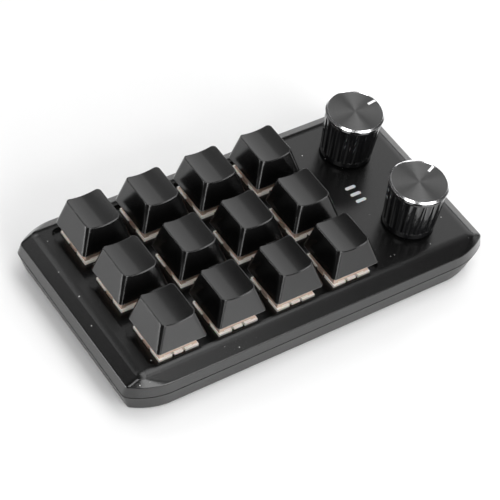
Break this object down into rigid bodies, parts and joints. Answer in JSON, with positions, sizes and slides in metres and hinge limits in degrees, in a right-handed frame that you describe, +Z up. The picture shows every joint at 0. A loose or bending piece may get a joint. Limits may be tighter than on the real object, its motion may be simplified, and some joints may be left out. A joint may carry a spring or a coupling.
{
  "type": "macro keypad",
  "caption": "Low desk keypad with a grid of sculpted keys in a shallow well, two fluted press-and-turn knobs and a row of short light bars",
  "frame": {"origin": "on the desk under the centre of the case", "axes": "+X from the keys to the knobs along the long side, +Y away from the user, +Z up"},
  "size_m": [0.1436, 0.0776, 0.0358],
  "materials": {
    "case": "black moulded plastic, semi-gloss, fine texture",
    "keycap": "black moulded plastic, satin",
    "switch_housing": "cream nylon",
    "stem": "pinkish brown acetal",
    "spring": "spring steel",
    "contact": "gold-plated copper alloy",
    "board": "dark green glass-fibre board",
    "chip": "black moulded package",
    "metal": "nickel-plated steel",
    "screw": "blackened steel",
    "foot": "black rubber",
    "light_bar": "translucent white plastic",
    "knob": "glossy black, polished bright ring at the top",
    "pointer": "white paint",
    "hub": "black nylon"
  },
  "bodies": {
    "base": {"top_case": "case", "bottom_case": "case", "case_screws": "screw", "rubber_feet": "foot", "circuit_board": "board", "usb_c_socket": "metal", "controller_chip": "chip", "key_diodes": "chip", "indicator_leds": "light_bar", "light_guide": "light_bar", "lower_housings": "switch_housing", "upper_housings": "switch_housing", "contact_leaves": "contact", "encoder_bodies": "metal", "spring_a1": "spring", "spring_a2": "spring", "spring_a3": "spring", "spring_a4": "spring", "spring_b1": "spring", "spring_b2": "spring", "spring_b3": "spring", "spring_b4": "spring", "spring_c1": "spring", "spring_c2": "spring", "spring_c3": "spring", "spring_c4": "spring"},
    "key_a1": {"keycap_a1": "keycap", "stem_a1": "stem"},
    "key_a2": {"keycap_a2": "keycap", "stem_a2": "stem"},
    "key_a3": {"keycap_a3": "keycap", "stem_a3": "stem"},
    "key_a4": {"keycap_a4": "keycap", "stem_a4": "stem"},
    "key_b1": {"keycap_b1": "keycap", "stem_b1": "stem"},
    "key_b2": {"keycap_b2": "keycap", "stem_b2": "stem"},
    "key_b3": {"keycap_b3": "keycap", "stem_b3": "stem"},
    "key_b4": {"keycap_b4": "keycap", "stem_b4": "stem"},
    "key_c1": {"keycap_c1": "keycap", "stem_c1": "stem"},
    "key_c2": {"keycap_c2": "keycap", "stem_c2": "stem"},
    "key_c3": {"keycap_c3": "keycap", "stem_c3": "stem"},
    "key_c4": {"keycap_c4": "keycap", "stem_c4": "stem"},
    "plunger_back": {"push_plunger_back": "hub"},
    "dial_back": {"encoder_shaft_back": "metal", "knob_hub_back": "hub", "knob_back": "knob", "knob_pointer_back": "pointer"},
    "plunger_front": {"push_plunger_front": "hub"},
    "dial_front": {"encoder_shaft_front": "metal", "knob_hub_front": "hub", "knob_front": "knob", "knob_pointer_front": "pointer"}
  },
  "joints": [
    {"name": "press_a1", "type": "slide", "parent": "base", "child": "key_a1", "axis": [0, 0, -1], "range_m": [0, 0.004], "stiffness_N_per_m": 100, "springref_m": -0.003, "deforming": ["spring_a1"]},
    {"name": "press_a2", "type": "slide", "parent": "base", "child": "key_a2", "axis": [0, 0, -1], "range_m": [0, 0.004], "stiffness_N_per_m": 100, "springref_m": -0.003, "deforming": ["spring_a2"]},
    {"name": "press_a3", "type": "slide", "parent": "base", "child": "key_a3", "axis": [0, 0, -1], "range_m": [0, 0.004], "stiffness_N_per_m": 100, "springref_m": -0.003, "deforming": ["spring_a3"]},
    {"name": "press_a4", "type": "slide", "parent": "base", "child": "key_a4", "axis": [0, 0, -1], "range_m": [0, 0.004], "stiffness_N_per_m": 100, "springref_m": -0.003, "deforming": ["spring_a4"]},
    {"name": "press_b1", "type": "slide", "parent": "base", "child": "key_b1", "axis": [0, 0, -1], "range_m": [0, 0.004], "stiffness_N_per_m": 100, "springref_m": -0.003, "deforming": ["spring_b1"]},
    {"name": "press_b2", "type": "slide", "parent": "base", "child": "key_b2", "axis": [0, 0, -1], "range_m": [0, 0.004], "stiffness_N_per_m": 100, "springref_m": -0.003, "deforming": ["spring_b2"]},
    {"name": "press_b3", "type": "slide", "parent": "base", "child": "key_b3", "axis": [0, 0, -1], "range_m": [0, 0.004], "stiffness_N_per_m": 100, "springref_m": -0.003, "deforming": ["spring_b3"]},
    {"name": "press_b4", "type": "slide", "parent": "base", "child": "key_b4", "axis": [0, 0, -1], "range_m": [0, 0.004], "stiffness_N_per_m": 100, "springref_m": -0.003, "deforming": ["spring_b4"]},
    {"name": "press_c1", "type": "slide", "parent": "base", "child": "key_c1", "axis": [0, 0, -1], "range_m": [0, 0.004], "stiffness_N_per_m": 100, "springref_m": -0.003, "deforming": ["spring_c1"]},
    {"name": "press_c2", "type": "slide", "parent": "base", "child": "key_c2", "axis": [0, 0, -1], "range_m": [0, 0.004], "stiffness_N_per_m": 100, "springref_m": -0.003, "deforming": ["spring_c2"]},
    {"name": "press_c3", "type": "slide", "parent": "base", "child": "key_c3", "axis": [0, 0, -1], "range_m": [0, 0.004], "stiffness_N_per_m": 100, "springref_m": -0.003, "deforming": ["spring_c3"]},
    {"name": "press_c4", "type": "slide", "parent": "base", "child": "key_c4", "axis": [0, 0, -1], "range_m": [0, 0.004], "stiffness_N_per_m": 100, "springref_m": -0.003, "deforming": ["spring_c4"]},
    {"name": "push_back", "type": "slide", "parent": "base", "child": "plunger_back", "axis": [0, 0, -1], "range_m": [0, 0.0005], "stiffness_N_per_m": 2000, "springref_m": -0.0015},
    {"name": "turn_back", "type": "hinge", "parent": "plunger_back", "child": "dial_back", "pos_m": [0.0494, 0.01835, 0.0097], "axis": [0, 0, 1], "continuous": true},
    {"name": "push_front", "type": "slide", "parent": "base", "child": "plunger_front", "axis": [0, 0, -1], "range_m": [0, 0.0005], "stiffness_N_per_m": 2000, "springref_m": -0.0015},
    {"name": "turn_front", "type": "hinge", "parent": "plunger_front", "child": "dial_front", "pos_m": [0.0494, -0.01835, 0.0097], "axis": [0, 0, 1], "continuous": true}
  ]
}
